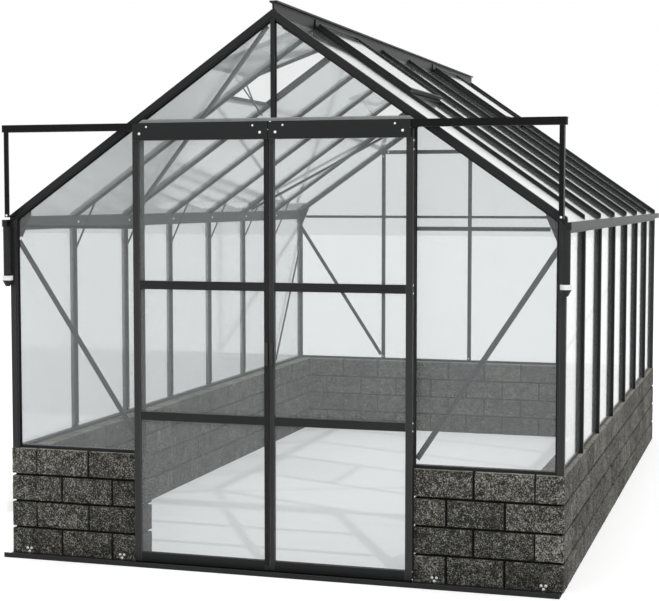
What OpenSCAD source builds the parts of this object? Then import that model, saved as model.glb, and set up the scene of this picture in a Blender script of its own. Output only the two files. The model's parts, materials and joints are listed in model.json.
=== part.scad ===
// Glass greenhouse on a block dwarf wall, with two top-hung sliding doors.
// Millimetres, +Z up, the doors face -Y, the origin is on the ground under the middle.

/* [Dwarf wall] */
// Outer width of the wall
wall_w = 2600; // [2400:5:3000]
// Outer length of the wall
wall_l = 4375; // [3800:5:5200]
// Height of the wall
wall_h = 500; // [300:5:800]
// Thickness of the wall
wall_t = 125; // [100:1:200]
// Clear width between the wall ends at the doorway
doorway_w = 1280; // [1200:5:1400]

/* [Frame] */
// Step from the wall face back to the frame face
frame_step = 4; // [0:1:20]
// Height of the roof line above the frame's side face
eave_h = 1593; // [1500:1:1900]
// Height of the roof line at the gable's point
ridge_h = 2500; // [2300:1:2800]
// Number of bays along the side
bays = 7; // [5:1:9]
// Step of the gable bars' middle lines into the doorway
jamb_step = 3; // [0:1:12]
// Height of the transom over the doorway, as a share of the roof's rise
lintel_share = 0.4576; // [0.43:0.0002:0.48]
// Depth of the thin transom's middle below the eave line
eave_rail_drop = 52; // [47:1:58]
// Height of the thin transom at eave level
eave_rail_h = 18; // [12:1:24]
// Height of the sill on the wall
sill_h = 14; // [12:1:40]

/* [Profiles] */
// Width of a glazing bar over its flange
bar_w = 28; // [26:1:36]
// Width of the bar's outer nose
nose_w = 19; // [16:1:25]
// Height of the nose outside the flange
nose_h = 16; // [12:1:17]
// Thickness of the flange that holds the glass
flange_t = 3; // [2.5:0.5:4]
// Thickness of the glass
glass_t = 4; // [3:0.5:5]
// Depth of every frame profile
bar_d = 33; // [33:1:40]
// Wall of the hollow profiles
skin_t = 2; // [1.5:0.5:2.5]
// Overlap of a pane's edge behind the corner profiles
glass_bite = 6; // [5:1:7]

/* [Eave and ridge] */
// Depth of the eave beam's underside below the eave line
beam_drop = 70; // [65:1:90]
// Reach of the gutter outside the frame
gutter_w = 24; // [20:1:60]
// Depth of the gutter's floor below the eave line
gutter_drop = 53; // [48:1:65]
// Height of the gutter's outer wall
gutter_h = 32; // [25:1:45]
// How far the gutter runs past each end of the frame
gutter_over = 32; // [24:1:50]
// Height of the ridge crest above the gable's point
crest_h = 38; // [25:1:60]
// Width of the ridge crest's top flange
crest_w = 36; // [24:1:50]

/* [Roof vents] */
// Length of a vent down the slope
vent_l = 551; // [450:1:650]
// Opening of the vents on the left slope, in degrees
vent_open = 15.5; // [5:0.5:40]
// Height of a vent's frame
vent_t = 18; // [14:1:24]
// Width of a vent's frame bars
vent_bar_w = 24; // [18:1:34]

/* [Doors] */
// Gap between the wall face and the back of the doors
door_gap = 24; // [15:1:40]
// Thickness of a door
door_t = 24; // [20:1:30]
// Half of the gap between the closed doors
door_seam = 2.5; // [2:0.5:5]
// Lap of each door over the wall's end
door_lap = 9; // [5:1:20]
// Width of the outer door stiles
stile_w = 30; // [24:1:40]
// Width of the door stiles beside the seam
seam_stile_w = 19; // [16:1:30]
// Height of the bottom rail
bottom_rail_h = 40; // [34:1:60]
// Height of the middle rails
mid_rail_h = 38; // [30:1:50]
// Middle height of the lower middle rail
mid_rail_low = 687; // [500:1:800]
// Middle height of the upper middle rail
mid_rail_high = 1282; // [1100:1:1500]
// Height of the door's underside
door_z = 20; // [16:1:30]
// Depth of the door track's underside below the transom's middle
track_drop = 33; // [28:1:60]
// Height of the door track
track_h = 33; // [28:1:33]
// Depth of the door track
track_d = 40; // [36:1:50]
// Width of the slot under the door track
track_slot = 14; // [12:1:18]
// Height of the header plate on the doors
header_h = 74; // [60:1:76]
// Height of the bottom track's front lip
sill_lip_h = 22; // [12:1:30]
// Reach of the bottom track in front of the wall
sill_reach = 95; // [85:1:130]

/* [Downpipes] */
// Diameter of the downpipes
pipe_d = 37; // [30:1:38]
// Length of the downpipes under the gutter
pipe_l = 249; // [150:1:500]
// Diameter of the white collars
collar_d = 49; // [44:1:52]
// Height of the collars
collar_h = 21; // [15:1:40]

/* [Hidden] */
$fn = 48;
far = 9000;
seat_gap = 0.3;
hair = 0.02;
fuse = 1;
pane_gap = 3;

// Main lines of the frame, measured from the wall's front face and from the middle.
half_w = wall_w/2 - frame_step;
frame_l = wall_l - 2*frame_step;
bay = frame_l/bays;
roof_tan = (ridge_h - eave_h)/half_w;
roof_a = atan(roof_tan);
gable_bar_x = doorway_w/2 - jamb_step;
lintel_z = eave_h + lintel_share*(ridge_h - eave_h);
eave_rail_z = eave_h - eave_rail_drop;
beam_z = eave_h - beam_drop;
gutter_z = eave_h - gutter_drop;
pipe_z = gutter_z - pipe_l;
door_w = doorway_w/2 + door_lap - door_seam;
track_z = lintel_z - track_drop;
y_mid = (wall_l + gutter_over - frame_step - sill_reach)/2;
function bar_y(k) = frame_step + k*bay;
function roof_z(x, r) = ridge_h - abs(x)*roof_tan - r/cos(roof_a);
function slope_s(x, r) = (x + r*sin(roof_a))/cos(roof_a);

// Depths in every profile, counted from its outer face.
pane_d0 = nose_h + flange_t;
pane_d1 = pane_d0 + glass_t;
seat_t = 2;
seat_w = 22;
web_t = 4;
channel_w = 16;
slot_w = 7;
slot_lip = 2.5;
lip_t = 4;
groove_d = glass_bite + 2;
cap_w = 8;
cap_h = 6;
sill_d = 30;
sill_t = 2.5;
gutter_t = 3;
ridge_t = 10;
ridge_foot_w = 24;
ridge_foot_t = 4;
crest_t = 8;
flat_t = 4;
glass_in = bar_d - glass_bite;

module placed() translate([0, -y_mid, 0]) children();
module both_sides() {
    children();
    mirror([1, 0, 0]) children();
}
module both_gables() {
    children();
    at_rear() children();
}
module at_rear() translate([0, wall_l, 0]) mirror([0, 1, 0]) children();
// Local axes on the right slope: X down the slope, Y along the house, Z outward.
module on_slope() translate([0, 0, ridge_h]) rotate([0, roof_a, 0]) children();
// Extrudes an outline of (Y, Z) points along X.
module along_x(x0, x1) translate([x0, 0, 0]) rotate([90, 0, 90]) linear_extrude(x1 - x0) children();
// Extrudes an outline of (X, Z) points along Y.
module along_y(y0, y1) translate([0, y1, 0]) rotate([90, 0, 0]) linear_extrude(y1 - y0) children();
module above_roof(r) on_slope() translate([-far/2, -far/2, -r]) cube([far, far, far]);
module slab(x0, x1, y0, y1, z0, z1) translate([x0, y0, z0]) cube([x1 - x0, y1 - y0, z1 - z0]);

// Right half of the glazing bar: nose, flange, glass groove, seat and bolt channel.
bar_half = [[nose_w/2, 0], [nose_w/2, nose_h], [bar_w/2, nose_h], [bar_w/2, pane_d0],
    [web_t/2, pane_d0], [web_t/2, pane_d1], [seat_w/2, pane_d1], [seat_w/2, pane_d1 + seat_t],
    [channel_w/2, pane_d1 + seat_t], [channel_w/2, bar_d], [slot_w/2, bar_d],
    [slot_w/2, bar_d - slot_lip], [channel_w/2 - skin_t, bar_d - slot_lip],
    [channel_w/2 - skin_t, pane_d1 + seat_t + skin_t]];
module glazing_bar() {
    difference() {
        union() {
            polygon(concat(bar_half, [[0, pane_d1 + seat_t + skin_t], [0, 0]]));
            mirror([1, 0]) polygon(concat(bar_half, [[0, pane_d1 + seat_t + skin_t], [0, 0]]));
        }
        translate([-nose_w/2 + skin_t, skin_t]) square([nose_w - 2*skin_t, pane_d0 - 2*skin_t]);
    }
}
// Corner profile: two outer faces from the origin, each stepped down beside its glass groove.
module corner_bar() {
    groove = bar_d - groove_d;
    difference() {
        polygon([[0, 0], [bar_d - cap_w, 0], [bar_d - cap_w, cap_h], [bar_d, cap_h], [bar_d, pane_d0],
            [groove, pane_d0], [groove, pane_d1],
            [bar_d, pane_d1], [bar_d, pane_d1 + lip_t], [pane_d1 + lip_t, pane_d1 + lip_t],
            [pane_d1 + lip_t, bar_d], [pane_d1, bar_d], [pane_d1, groove], [pane_d0, groove],
            [pane_d0, bar_d], [cap_h, bar_d], [cap_h, bar_d - cap_w], [0, bar_d - cap_w]]);
        translate([skin_t, skin_t]) square(pane_d0 - 2*skin_t);
    }
}
// Strip of flat bar between two points of a plane.
module strip(a, b, w) {
    d = b - a;
    translate(a) rotate(atan2(d.y, d.x)) translate([0, -w/2]) square([norm(d), w]);
}

// Dwarf wall
module wall(x0, x1, y0, y1) color("#55514d") placed() slab(x0, x1, y0, y1, 0, wall_h);
module front_wall_left() wall(-wall_w/2, -doorway_w/2, 0, wall_t);
module front_wall_right() wall(doorway_w/2, wall_w/2, 0, wall_t);
module left_wall() wall(-wall_w/2, wall_t - wall_w/2, wall_t, wall_l - wall_t);
module right_wall() wall(wall_w/2 - wall_t, wall_w/2, wall_t, wall_l - wall_t);
module rear_wall() wall(-wall_w/2, wall_w/2, wall_l - wall_t, wall_l);

// Sills: an upturned channel under the glass, mitred at the corners.
sill_top = wall_h + sill_h;
module sill_outline() {
    difference() {
        translate([pane_d0, wall_h]) square([sill_d, sill_h]);
        translate([pane_d0 + sill_t, wall_h - 1]) square([sill_d - 2*sill_t, sill_h - sill_t + 1]);
    }
}
module side_sills() color("#383938") placed() both_sides() difference() {
    along_y(frame_step + bar_d, wall_l - frame_step - bar_d)
        translate([half_w, 0]) mirror([1, 0]) sill_outline();
    both_gables() sill_mitre([[bar_d, bar_d], [far, bar_d], [far, far]]);
}
module gable_sills() color("#383938") placed() {
    both_sides() gable_sill(gable_bar_x - bar_w/2);
    at_rear() difference() {
        gable_sill(-half_w + bar_d);
        mirror([1, 0, 0]) sill_mitre([[bar_d, bar_d], [far, far], [bar_d, far]]);
    }
}
module gable_sill(x0) difference() {
    along_x(x0, half_w - bar_d) translate([frame_step, 0]) sill_outline();
    sill_mitre([[bar_d, bar_d], [far, far], [bar_d, far]]);
}
// Cuts one side of the corner's diagonal, on (inward from the side, inward from the gable).
module sill_mitre(points) translate([half_w, frame_step, wall_h - 1]) mirror([1, 0, 0])
    linear_extrude(sill_h + 2) polygon([for (p = points) [p.x, p.y]]);

// Frame: posts, bars, rafters
module corner_posts() color("#2f302f") placed() both_sides() both_gables() difference() {
    translate([half_w, frame_step, wall_h]) mirror([1, 0, 0]) linear_extrude(eave_h - wall_h) corner_bar();
    above_roof(bar_d);
}
module wall_bars() color("#3a3b3a") placed() difference() {
    for (k = [1 : bays - 1])
        translate([half_w, bar_y(k), wall_h]) linear_extrude(beam_z - wall_h) rotate(90) glazing_bar();
    slab(0, half_w - pane_d0, 0, wall_l, 0, sill_top);
}
module right_wall_bars() wall_bars();
module left_wall_bars() mirror([1, 0, 0]) wall_bars();

// The eave beam carries the rafters' feet and the glass on its sloping top.
beam_x = half_w - bar_d;
beam_top = pane_d1 + hair;
beam_outline = [[beam_x, beam_z], [half_w, beam_z], [half_w, roof_z(half_w, beam_top)],
    [beam_x, roof_z(beam_x, beam_top)]];
beam_core = [[beam_x + skin_t, beam_z + skin_t], [half_w - skin_t, beam_z + skin_t],
    [half_w - skin_t, roof_z(half_w - skin_t, beam_top + skin_t)],
    [beam_x + skin_t, roof_z(beam_x + skin_t, beam_top + skin_t)]];
gutter_x = half_w + gutter_w;
gutter_y0 = frame_step - gutter_over;
gutter_y1 = wall_l - frame_step + gutter_over;
gutter_bead = 5;
module eave_gutter() color("#4a4b4a") placed() {
    along_y(frame_step + bar_d, wall_l - frame_step - bar_d) {
        difference() {
            polygon(beam_outline);
            polygon(beam_core);
        }
        translate([half_w - fuse, gutter_z]) square([2*fuse, gutter_t]);
    }
    along_y(gutter_y0, gutter_y1) gutter_outline();
    for (y = [gutter_y0, gutter_y1 - gutter_t])
        slab(half_w, gutter_x, y, y + gutter_t, gutter_z, gutter_z + gutter_h);
}
module gutter_outline() {
    translate([half_w, gutter_z]) square([gutter_w, gutter_t]);
    translate([half_w, gutter_z])
        square([gutter_t, roof_z(half_w + gutter_t, pane_d1) - seat_gap - gutter_z]);
    translate([gutter_x - gutter_t, gutter_z]) square([gutter_t, gutter_h]);
    translate([gutter_x - gutter_t - gutter_bead, gutter_z + gutter_h - gutter_t])
        square([gutter_t + gutter_bead, gutter_t]);
}
module right_eave_gutter() eave_gutter();
module left_eave_gutter() mirror([1, 0, 0]) eave_gutter();

// The rafter ends just short of the frame face, and the glass runs on over the gutter.
rafter_back = 6;
module rafters() color("#3a3b3a") placed() difference() {
    intersection() {
        on_slope() for (k = [1 : bays - 1])
            translate([0, bar_y(k), 0]) along_x(-far/8, far/3) mirror([0, 1]) glazing_bar();
        slab(ridge_t/2, half_w - rafter_back, 0, wall_l, 0, far);
    }
    along_y(0, wall_l) polygon([[beam_x, 0], [gutter_x, 0], [gutter_x, roof_z(gutter_x, pane_d1)],
        [beam_x, roof_z(beam_x, pane_d1)]]);
}
module right_rafters() rafters();
module left_rafters() mirror([1, 0, 0]) rafters();

apex_gap = 0.25;
module gable_rafters() color("#2f302f") placed() both_sides() both_gables() intersection() {
    on_slope() translate([0, frame_step, 0]) along_x(-far/8, far/3) mirror([0, 1]) corner_bar();
    slab(apex_gap, half_w, 0, wall_l, 0, far);
}

// Ridge: a web between the rafters' heads, with a foot below and a crest above.
foot_z = roof_z(ridge_foot_w/2, bar_d) - ridge_foot_t - seat_gap;
crest_z = ridge_h + crest_h;
crest_over = 13;
crest_lip = 4;
crest_rib = 3;
crest_rib_z = crest_z - 2*crest_t;
module ridge_beam() color("#4a4b4a") placed() {
    slab(-ridge_t/2, ridge_t/2, frame_step + bar_d, wall_l - frame_step - bar_d, foot_z, ridge_h + fuse);
    slab(-ridge_foot_w/2, ridge_foot_w/2, frame_step + bar_d, wall_l - frame_step - bar_d,
        foot_z, foot_z + ridge_foot_t);
    along_y(frame_step + crest_over, wall_l - frame_step - crest_over) crest_outline();
}
module crest_outline() {
    translate([-ridge_t/2, ridge_h]) square([ridge_t, crest_h]);
    translate([-ridge_t/2 - crest_rib, crest_rib_z]) square([ridge_t + 2*crest_rib, crest_rib]);
    translate([-crest_w/2, crest_z - crest_t]) difference() {
        square([crest_w, crest_t]);
        translate([crest_lip, -1]) square([crest_w - 2*crest_lip, crest_t - crest_lip + 1]);
    }
}

// Gable bars stand on the sill and end under the gable rafters.
module upright(x, z0, z1) translate([x, frame_step, z0]) linear_extrude(z1 - z0) glazing_bar();
module under_gable_rafters() difference() {
    children();
    both_sides() above_roof(bar_d);
    slab(-far, far, frame_step + pane_d0, far, 0, sill_top);
}
lintel_z0 = lintel_z - bar_w/2;
lintel_z1 = lintel_z + bar_w/2;
module front_gable_bars() color("#2f302f") placed() under_gable_rafters() {
    both_sides() upright(gable_bar_x, wall_h, ridge_h);
    upright(0, lintel_z1, ridge_h);
}
module rear_gable_bars() color("#3a3b3a") placed() at_rear() under_gable_rafters() {
    both_sides() upright(gable_bar_x, wall_h, ridge_h);
    upright(0, wall_h, lintel_z0);
    upright(0, lintel_z1, ridge_h);
}
lintel_x = gable_bar_x - bar_w/2;
module lintels() color("#3a3b3a") placed() both_gables() under_gable_rafters()
    translate([0, frame_step, lintel_z]) along_x(-lintel_x, lintel_x) mirror([1, 0]) rotate(90)
        glazing_bar();

// Thin rails, braces and gussets lie on the inner faces of the frame.
eave_rail_t = 6;
gusset_reach = 59;
gusset_leg = 31;
gusset_toe = 14;
gusset_drop = 30;
gusset_x = beam_x - gusset_reach;
gusset_z = beam_z - gusset_leg;
gusset_in = beam_x - gusset_toe;
eave_rail_lap = 40;
post_lip_x = half_w - pane_d1 - seat_gap;
inner_y = frame_step + bar_d;
eave_rail_x = beam_x - eave_rail_lap;
module eave_rails() color("#4a4b4a") placed() {
    z0 = eave_rail_z - eave_rail_h/2;
    z1 = eave_rail_z + eave_rail_h/2;
    both_sides() slab(gable_bar_x - channel_w/2, eave_rail_x, inner_y, inner_y + eave_rail_t, z0, z1);
    at_rear() slab(-eave_rail_x, eave_rail_x, inner_y, inner_y + eave_rail_t, z0, z1);
}
gusset_r = pane_d1 + seat_gap;
module corner_gussets() color("#3a3b3a") placed() both_sides() both_gables()
    along_y(inner_y, inner_y + flat_t) polygon([[gusset_in, gusset_z], [post_lip_x, gusset_z],
        [post_lip_x, beam_z - seat_gap], [beam_x - seat_gap, beam_z - seat_gap],
        [beam_x - seat_gap, roof_z(beam_x - seat_gap, gusset_r)], [gusset_x, roof_z(gusset_x, gusset_r)],
        [gusset_x, roof_z(gusset_x, gusset_r + gusset_drop)]]);
brace_w = 24;
brace_lap = 4;
brace_top = [beam_x + brace_lap, gusset_z - 0.8*brace_w];
brace_foot = [gable_bar_x + bar_w/2, sill_top + brace_w];
module gable_braces() color("#4a4b4a") placed() both_sides() both_gables()
    along_y(inner_y, inner_y + flat_t) intersection() {
        strip(brace_top, brace_foot, brace_w);
        translate([0, sill_top]) square([post_lip_x, far]);
    }
side_brace_drop = 140;
side_brace_end = wall_l - frame_step - pane_d1 - seat_gap;
roof_brace_w = 20;
roof_brace_t = 14;
roof_brace_head = 75;
roof_brace_in = 12;
roof_brace_foot = 55;
module wind_braces() color("#4a4b4a") placed() both_sides() {
    along_x(beam_x - flat_t, beam_x) intersection() {
        strip([side_brace_end, beam_z - side_brace_drop], [bar_y(bays - 1), sill_top + brace_w], brace_w);
        square([side_brace_end, far]);
    }
    both_gables() on_slope() translate([0, 0, -bar_d - roof_brace_t]) linear_extrude(roof_brace_t) intersection() {
        strip([roof_brace_head, frame_step + pane_d1 + roof_brace_in],
            [slope_s(beam_x, bar_d) - roof_brace_foot, bar_y(2)], roof_brace_w);
        translate([0, frame_step + pane_d1 + seat_gap]) square([far, far]);
    }
}
stay_w = 16;
stay_t = 4;
stay_drop = 98;
stay_reach = 129;
stay_post_z = beam_z - stay_drop;
stay_rafter_x = beam_x - stay_reach;
module knee_stays() color("#4a4b4a") placed() both_sides() for (k = [1 : bays - 1]) difference() {
    along_y(bar_y(k) - stay_w/2, bar_y(k) + stay_w/2) intersection() {
        strip([beam_x, stay_post_z], [stay_rafter_x, roof_z(stay_rafter_x, 0)], stay_t);
        square([beam_x, far]);
    }
    above_roof(bar_d);
}

// Panes: flat sheets held between the flange and the seat of each bar.
function pane_y(k) = k == 0 ? frame_step + glass_in : k == bays ? wall_l - frame_step - glass_in : bar_y(k);
function pane_y0(k) = k == 0 ? pane_y(k) : pane_y(k) + pane_gap;
function pane_y1(k) = k == bays ? pane_y(k) : pane_y(k) - pane_gap;
module wall_glass() color("#d5dcde", 0.4) placed() for (k = [0 : bays - 1])
    slab(half_w - pane_d1, half_w - pane_d0, pane_y0(k), pane_y1(k + 1), sill_top, beam_z);
module right_wall_glass() wall_glass();
module left_wall_glass() mirror([1, 0, 0]) wall_glass();

vent_bays = [1, bays - 2];
vent_s0 = 24;
vent_lap = 15;
vent_sill_lap = 6;
vent_sill_s = vent_s0 + vent_l - vent_lap;
vent_sill_w = 30;
roof_glass_over = 2;
module roof_glass() color("#c8d0d2", 0.4) placed() intersection() {
    on_slope() for (k = [0 : bays - 1]) {
        s0 = len(search(k, vent_bays)) > 0 ? vent_sill_s + vent_sill_lap : 0;
        slab(s0, far/3, pane_y0(k), pane_y1(k + 1), -pane_d1, -pane_d0);
    }
    slab(ridge_t/2 + 1, half_w - roof_glass_over, 0, wall_l, 0, far);
}
module right_roof_glass() roof_glass();
module left_roof_glass() mirror([1, 0, 0]) roof_glass();

module gable_pane(x0, x1, z0, z1) intersection() {
    slab(x0, x1, frame_step + pane_d0, frame_step + pane_d1, z0, z1);
    translate([0, 0, -glass_in/cos(roof_a)]) along_y(0, far)
        polygon([[-half_w, 0], [half_w, 0], [half_w, eave_h], [0, ridge_h], [-half_w, eave_h]]);
}
rail_gap = 0.5;
module gable_side_panes() {
    x0 = gable_bar_x + pane_gap;
    gable_pane(x0, half_w - glass_in, sill_top, eave_rail_z - rail_gap);
    gable_pane(x0, half_w - glass_in, eave_rail_z + rail_gap, ridge_h);
}
module top_pane() gable_pane(pane_gap, gable_bar_x - pane_gap, lintel_z + pane_gap, ridge_h);
module front_gable_glass() color("#d5dcde", 0.4) placed() both_sides() {
    gable_side_panes();
    top_pane();
}
module rear_gable_glass() color("#d5dcde", 0.4) placed() at_rear() both_sides() {
    gable_side_panes();
    top_pane();
    gable_pane(pane_gap, gable_bar_x - pane_gap, sill_top, lintel_z - pane_gap);
}

// Roof vents: closed on the right slope, propped open on the left.
vent_ledge_t = 7;
vent_wall_t = 11;
module on_vent(k, angle) on_slope() translate([vent_s0, bar_y(k), seat_gap]) rotate([0, -angle, 0]) children();
module each_vent() for (k = vent_bays) {
    on_vent(k, 0) children();
    mirror([1, 0, 0]) on_vent(k, vent_open) children();
}
module vent_outline() polygon([[0, 0], [vent_bar_w, 0], [vent_bar_w, vent_ledge_t], [vent_wall_t, vent_ledge_t],
    [vent_wall_t, vent_t], [0, vent_t]]);
vent_half = vent_bar_w/2;
module vent_side_bars() color("#3a3b3a") placed() each_vent() {
    translate([0, -vent_half, 0]) along_x(0, vent_l) vent_outline();
    translate([0, bay + vent_half, 0]) mirror([0, 1, 0]) along_x(0, vent_l) vent_outline();
}
module vent_cross_bars() color("#3a3b3a") placed() each_vent() {
    vent_cross_bar();
    translate([vent_l, 0, 0]) mirror([1, 0, 0]) vent_cross_bar();
}
module vent_cross_bar() {
    slab(0, vent_bar_w, vent_half, bay - vent_half, 0, vent_ledge_t);
    slab(0, vent_wall_t, vent_wall_t - vent_half, bay + vent_half - vent_wall_t, vent_ledge_t, vent_t);
}
module vent_glass() color("#c8d0d2", 0.4) placed() each_vent() {
    e = vent_wall_t + 1;
    slab(e, vent_l - e, e - vent_half, bay + vent_half - e, vent_ledge_t, vent_ledge_t + glass_t);
}
vent_sill_top = 4;
module vent_sills() color("#3a3b3a") placed() both_sides() for (k = vent_bays) on_slope() {
    slab(vent_sill_s, vent_sill_s + vent_sill_w, bar_y(k) + nose_w/2 + hair, bar_y(k + 1) - nose_w/2 - hair,
        -nose_h, -vent_sill_top);
    slab(vent_sill_s, vent_sill_s + vent_sill_w, bar_y(k) + bar_w/2 + hair, bar_y(k + 1) - bar_w/2 - hair,
        -pane_d0, -nose_h);
}
prop_w = 14;
prop_t = 4;
prop_at = 0.7;
prop_p = vent_l - vent_half;
prop_head = [vent_s0 + prop_p*cos(vent_open), seat_gap + prop_p*sin(vent_open)];
prop_foot = [vent_sill_s + vent_sill_w/2, -vent_sill_top];
module vent_stays() color("#4a4b4a") placed() mirror([1, 0, 0]) for (k = vent_bays) on_slope() difference() {
    along_y(bar_y(k) + prop_at*bay, bar_y(k) + prop_at*bay + prop_w) intersection() {
        strip(prop_foot + (prop_foot - prop_head)*0.1, prop_head + (prop_head - prop_foot)*0.1, prop_t);
        translate([0, -vent_sill_top]) square([far, far]);
    }
    translate([vent_s0, 0, seat_gap]) rotate([0, -vent_open, 0]) translate([-far/2, 0, 0]) cube(far);
}

// Sliding doors, track and guide
door_back = -door_gap;
door_front = -door_gap - door_t;
door_y = -door_gap - door_t/2;
track_back = door_y + track_d/2;
track_front = door_y - track_d/2;
track_t = 3;
header_gap = 5;
header_t = 5;
header_front = track_front - header_gap - header_t;
rail_top = track_z - header_gap;
header_drop = 4;
header_step = 10;
header_z = track_z + track_h - header_h - header_drop;
track_over = 3;
track_half = half_w + track_over;
module door_track() color("#2f302f") placed() {
    along_x(-track_half, track_half) {
        difference() {
            translate([track_front, track_z]) square([track_d, track_h]);
            translate([track_front + track_t, track_z + track_t]) square([track_d - 2*track_t, track_h - 2*track_t]);
            translate([door_y - track_slot/2, track_z - 1]) square([track_slot, track_t + 2]);
        }
        translate([track_back - fuse, track_z + track_h - track_t])
            square([frame_step - track_back + fuse, track_t]);
    }
}
strut_w = 20;
strut_t = 4;
strut_in = 6;
strut_x1 = half_w - strut_in;
strut_z = roof_z(strut_x1 - strut_w/2, bar_d/2);
strut_foot_t = 6;
module track_struts() color("#2f302f") placed() both_sides() {
    slab(strut_x1 - strut_w, strut_x1, track_front, track_front + strut_t, strut_z, track_z);
    slab(strut_x1 - strut_t, strut_x1, track_front, track_back, strut_z, track_z);
    slab(strut_x1 - strut_w, strut_x1, track_front, frame_step, strut_z, strut_z + strut_foot_t);
}
sill_base_t = 6;
sill_lip_t = 4;
guide_t = 4;
guide_lap = 10;
guide_top = door_z + guide_lap;
guide_slot = 14;
guide_slot_d = 16;
sill_in = 5;
sill_half = wall_w/2 - sill_in;
module bottom_track() color("#2a2b2a") placed() {
    along_x(-sill_half, sill_half) {
        translate([-sill_reach, 0]) square([sill_reach, sill_base_t]);
        translate([-sill_reach, 0]) square([sill_lip_t, sill_lip_h]);
    }
    slab(-door_x1, door_x1, door_y - guide_t/2, door_y + guide_t/2, 0, guide_top);
}

// One door, drawn on the right of the seam.
door_x1 = door_seam + door_w;
stile_in0 = door_seam + seam_stile_w;
stile_in1 = door_x1 - stile_w;
rail_z = [door_z + bottom_rail_h/2, mid_rail_low, mid_rail_high];
rail_h = [bottom_rail_h, mid_rail_h, mid_rail_h];
door_bite = 8;
module guide_groove() slab(-far, far, door_y - guide_slot/2, door_y + guide_slot/2, 0, door_z + guide_slot_d);
module door_glass_space() slab(stile_in0 - door_bite, stile_in1 + door_bite, door_y - glass_t/2,
    door_y + glass_t/2, door_z + bottom_rail_h - door_bite, header_z + door_bite);
module door_stiles() color("#2f302f") placed() difference() {
    union() {
        slab(door_seam, stile_in0, door_front, door_back, door_z, header_z);
        slab(stile_in1, door_x1, door_front, door_back, door_z, header_z);
    }
    door_glass_space();
    guide_groove();
}
module door_rails() color("#2f302f") placed() difference() {
    union() {
        for (i = [0 : 2]) slab(stile_in0, stile_in1, door_front, door_back,
            rail_z[i] - rail_h[i]/2, rail_z[i] + rail_h[i]/2);
        along_x(door_seam, door_x1) translate([door_front, header_z]) square([door_t, rail_top - header_z]);
        along_x(door_seam, door_x1 - door_lap) {
            translate([header_front, header_z]) square([door_front - header_front + fuse, header_step]);
            translate([header_front, header_z]) square([header_t, header_h]);
        }
    }
    for (i = [0 : 2]) rail_groove(i);
    guide_groove();
}
// The sheets of a door, from one rail's groove to the next.
function sheet_z0(i) = rail_z[i] + rail_h[i]/2 - door_bite;
function sheet_z1(i) = (i == 2 ? header_z : rail_z[i + 1] - rail_h[i + 1]/2) + door_bite;
module rail_groove(i)
    slab(stile_in0 - door_bite, stile_in1 + door_bite, door_y - glass_t/2, door_y + glass_t/2,
        sheet_z0(i), sheet_z1(i));
sheet_gap = 1;
module door_glass() color("#d5dcde", 0.4) placed() for (i = [0 : 2])
    slab(stile_in0 - door_bite + sheet_gap, stile_in1 + door_bite - sheet_gap, door_y - glass_t/2,
        door_y + glass_t/2, sheet_z0(i) + (i == 0 ? 0 : sheet_gap), sheet_z1(i) - sheet_gap);
wheel_r = 9;
wheel_t = 7;
wheel_z = track_z + track_t + seat_gap + wheel_r;
wheel_in = 67;
axle_r = 3;
stem_t = 4;
stem_w = 20;
wheel_out = track_d/2 - track_t - 1;
module door_rollers() color("#8a8c8c") placed() for (x = [door_seam + wheel_in, door_x1 - wheel_in]) {
    translate([x, 0, wheel_z]) rotate([90, 0, 0]) {
        for (y = [wheel_out - wheel_t, -wheel_out]) translate([0, 0, -door_y + y]) cylinder(r = wheel_r, h = wheel_t);
        translate([0, 0, -door_y - wheel_out]) cylinder(r = axle_r, h = 2*wheel_out);
    }
    slab(x - stem_w/2, x + stem_w/2, door_y - stem_t/2, door_y + stem_t/2, rail_top, wheel_z + axle_r + 2);
}
module right_door_stiles() door_stiles();
module right_door_rails() door_rails();
module right_door_glass() door_glass();
module right_door_rollers() door_rollers();
module left_door_stiles() mirror([1, 0, 0]) door_stiles();
module left_door_rails() mirror([1, 0, 0]) door_rails();
module left_door_glass() mirror([1, 0, 0]) door_glass();
module left_door_rollers() mirror([1, 0, 0]) door_rollers();

// Downpipes hang from the gutters' front ends.
pipe_out = 2;
pipe_x = half_w + pipe_out;
pipe_y = -21;
pipe_t = 2;
nozzle_h = 28;
nozzle_tip_d = 20;
module downpipes() color("#2a2b2a") placed() both_sides() translate([pipe_x, pipe_y, 0]) {
    translate([0, 0, pipe_z]) difference() {
        cylinder(d = pipe_d, h = gutter_z - pipe_z);
        translate([0, 0, -1]) cylinder(d = pipe_d - 2*pipe_t, h = gutter_z - pipe_z + 2);
    }
    translate([0, 0, pipe_z - nozzle_h]) difference() {
        cylinder(d1 = nozzle_tip_d, d2 = collar_d, h = nozzle_h);
        translate([0, 0, -1]) cylinder(d = nozzle_tip_d - 2*pipe_t, h = nozzle_h + 2);
    }
}
module downpipe_collars() color("#f2f2f0") placed() both_sides() translate([pipe_x, pipe_y, pipe_z]) difference() {
    cylinder(d = collar_d, h = collar_h);
    translate([0, 0, -1]) cylinder(d = pipe_d, h = collar_h + 2);
}

front_wall_left();
front_wall_right();
left_wall();
right_wall();
rear_wall();
side_sills();
gable_sills();
corner_posts();
left_wall_bars();
right_wall_bars();
left_eave_gutter();
right_eave_gutter();
ridge_beam();
left_rafters();
right_rafters();
gable_rafters();
front_gable_bars();
rear_gable_bars();
lintels();
eave_rails();
gable_braces();
wind_braces();
corner_gussets();
knee_stays();
left_wall_glass();
right_wall_glass();
left_roof_glass();
right_roof_glass();
front_gable_glass();
rear_gable_glass();
vent_side_bars();
vent_cross_bars();
vent_glass();
vent_sills();
vent_stays();
door_track();
track_struts();
bottom_track();
left_door_stiles();
left_door_rails();
left_door_glass();
left_door_rollers();
right_door_stiles();
right_door_rails();
right_door_glass();
right_door_rollers();
downpipes();
downpipe_collars();
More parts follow.
